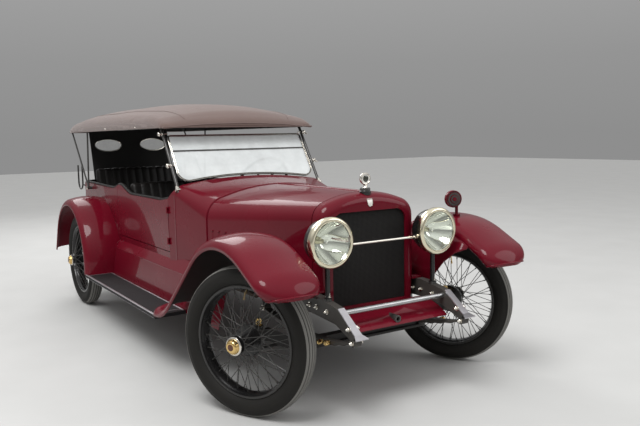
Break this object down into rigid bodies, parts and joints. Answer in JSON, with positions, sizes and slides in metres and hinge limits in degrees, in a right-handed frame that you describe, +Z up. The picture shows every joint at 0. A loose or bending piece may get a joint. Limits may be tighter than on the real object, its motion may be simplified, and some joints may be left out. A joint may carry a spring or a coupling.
{
  "type": "1920s touring car",
  "caption": "Open touring car of the 1920s with a fabric top, leaning windshield, wire wheels, long side-opening hood, drum headlamps and sweeping fenders.",
  "frame": {"origin": "on the ground, under the middle of the overall box", "axes": "+X forward, +Y to the car's left, +Z up"},
  "size_m": [4.82, 1.9922, 1.7949],
  "materials": {
    "tyre_rubber": "matt, ribbed tread",
    "wheel_black": "gloss enamel",
    "hub_brass": "polished",
    "chassis_black": "semi-gloss enamel",
    "engine_grey": "as cast, painted",
    "exhaust_steel": "heat darkened",
    "nickel": "polished nickel",
    "polished_steel": "polished",
    "maroon": "deep gloss",
    "core_black": "matt honeycomb",
    "seat_leather": "buttoned, satin",
    "wood": "varnished",
    "board_mat": "ribbed mat with metal edge",
    "screen_black": "enamel with bright edges",
    "clear_glass": "clear",
    "top_cloth": "woven top cloth",
    "curtain_cloth": "coated cloth",
    "lens_glass": "clear",
    "lamp_nickel": "polished rim"
  },
  "bodies": {
    "chassis": {"frame_rails": "chassis_black", "cross_members": "chassis_black", "crank_bush": "chassis_black", "front_axle": "chassis_black", "rear_axle": "chassis_black", "springs_front": "chassis_black", "springs_rear": "chassis_black", "fuel_tank": "chassis_black", "steering_column": "chassis_black", "lamp_posts": "chassis_black", "top_bows": "chassis_black", "top_rests": "chassis_black", "tail_lamp": "chassis_black", "engine_block": "engine_grey", "exhaust": "exhaust_steel", "spreader_bar": "nickel", "radiator_cap": "nickel", "lamp_tie_bar": "nickel", "horn_plates": "polished_steel", "front_apron": "maroon", "radiator_shell": "maroon", "cowl": "maroon", "body_tub": "maroon", "door_hinge_pins": "maroon", "splash_aprons": "maroon", "fenders_front": "maroon", "fenders_rear": "maroon", "fender_horn": "maroon", "radiator_core": "core_black", "front_seat": "seat_leather", "rear_seat": "seat_leather", "dashboard": "wood", "running_boards": "board_mat", "windshield_frame": "screen_black", "windshield_glass": "clear_glass", "canopy": "top_cloth", "rear_curtain": "curtain_cloth", "headlamp_lenses": "lens_glass", "headlamps": "lamp_nickel"},
    "wheel_front_left": {"tyre_front_left": "tyre_rubber", "wire_wheel_front_left": "wheel_black", "hub_cap_front_left": "hub_brass"},
    "wheel_front_right": {"tyre_front_right": "tyre_rubber", "wire_wheel_front_right": "wheel_black", "hub_cap_front_right": "hub_brass"},
    "wheel_rear_left": {"tyre_rear_left": "tyre_rubber", "wire_wheel_rear_left": "wheel_black", "hub_cap_rear_left": "hub_brass"},
    "wheel_rear_right": {"tyre_rear_right": "tyre_rubber", "wire_wheel_rear_right": "wheel_black", "hub_cap_rear_right": "hub_brass"},
    "knuckle_left": {"knuckle_left": "chassis_black"},
    "knuckle_right": {"knuckle_right": "chassis_black"},
    "tie_rod": {"tie_rod": "chassis_black"},
    "door_left": {"door_left": "maroon"},
    "door_right": {"door_right": "maroon"},
    "hood_left": {"hood_left": "maroon"},
    "hood_right": {"hood_right": "maroon"},
    "steering_wheel": {"steering_wheel": "wood"}
  },
  "joints": [
    {"name": "steer_left", "type": "hinge", "parent": "chassis", "child": "knuckle_left", "pos_m": [1.87, 0.685, 0.412], "axis": [0, 0, 1], "range_deg": [-58.5, 5.5]},
    {"name": "steer_right", "type": "hinge", "parent": "chassis", "child": "knuckle_right", "pos_m": [1.87, -0.685, 0.412], "axis": [0, 0, 1], "range_deg": [-58.5, 5.5]},
    {"name": "tie_rod_pivot", "type": "hinge", "parent": "knuckle_left", "child": "tie_rod", "pos_m": [1.73576, 0.61807, 0.3], "axis": [0, 0, 1], "range_deg": [-5.5, 58.5]},
    {"name": "steering_wheel_turn", "type": "hinge", "parent": "chassis", "child": "steering_wheel", "pos_m": [0.1, 0.33, 1.12], "axis": [-0.8452, 0, 0.5345], "range_deg": [-585, 55]},
    {"name": "wheel_front_left_spin", "type": "hinge", "parent": "knuckle_left", "child": "wheel_front_left", "pos_m": [1.82538, 0.77449, 0.412], "axis": [-0.4462, 0.8949, 0], "continuous": true},
    {"name": "wheel_front_right_spin", "type": "hinge", "parent": "knuckle_right", "child": "wheel_front_right", "pos_m": [1.91462, -0.77449, 0.412], "axis": [-0.4462, 0.8949, 0], "continuous": true},
    {"name": "wheel_rear_left_spin", "type": "hinge", "parent": "chassis", "child": "wheel_rear_left", "pos_m": [-1.36, 0.785, 0.412], "axis": [0, 1, 0], "continuous": true},
    {"name": "wheel_rear_right_spin", "type": "hinge", "parent": "chassis", "child": "wheel_rear_right", "pos_m": [-1.36, -0.785, 0.412], "axis": [0, 1, 0], "continuous": true},
    {"name": "door_left_swing", "type": "hinge", "parent": "chassis", "child": "door_left", "pos_m": [0.387, 0.632, 0.87], "axis": [0, 0, -1], "range_deg": [0, 70]},
    {"name": "door_right_swing", "type": "hinge", "parent": "chassis", "child": "door_right", "pos_m": [0.387, -0.632, 0.87], "axis": [0, 0, 1], "range_deg": [0, 70]},
    {"name": "hood_left_lift", "type": "hinge", "parent": "chassis", "child": "hood_left", "pos_m": [1.41, 0, 1.166], "axis": [1, 0, 0], "range_deg": [0, 65]},
    {"name": "hood_right_lift", "type": "hinge", "parent": "chassis", "child": "hood_right", "pos_m": [1.41, 0, 1.166], "axis": [-1, 0, 0], "range_deg": [0, 65]}
  ],
  "couplings": [
    {"joint": "steer_right", "follows": "steer_left", "ratio": 1},
    {"joint": "tie_rod_pivot", "follows": "steer_left", "ratio": -1},
    {"joint": "steering_wheel_turn", "follows": "steer_left", "ratio": 10}
  ]
}
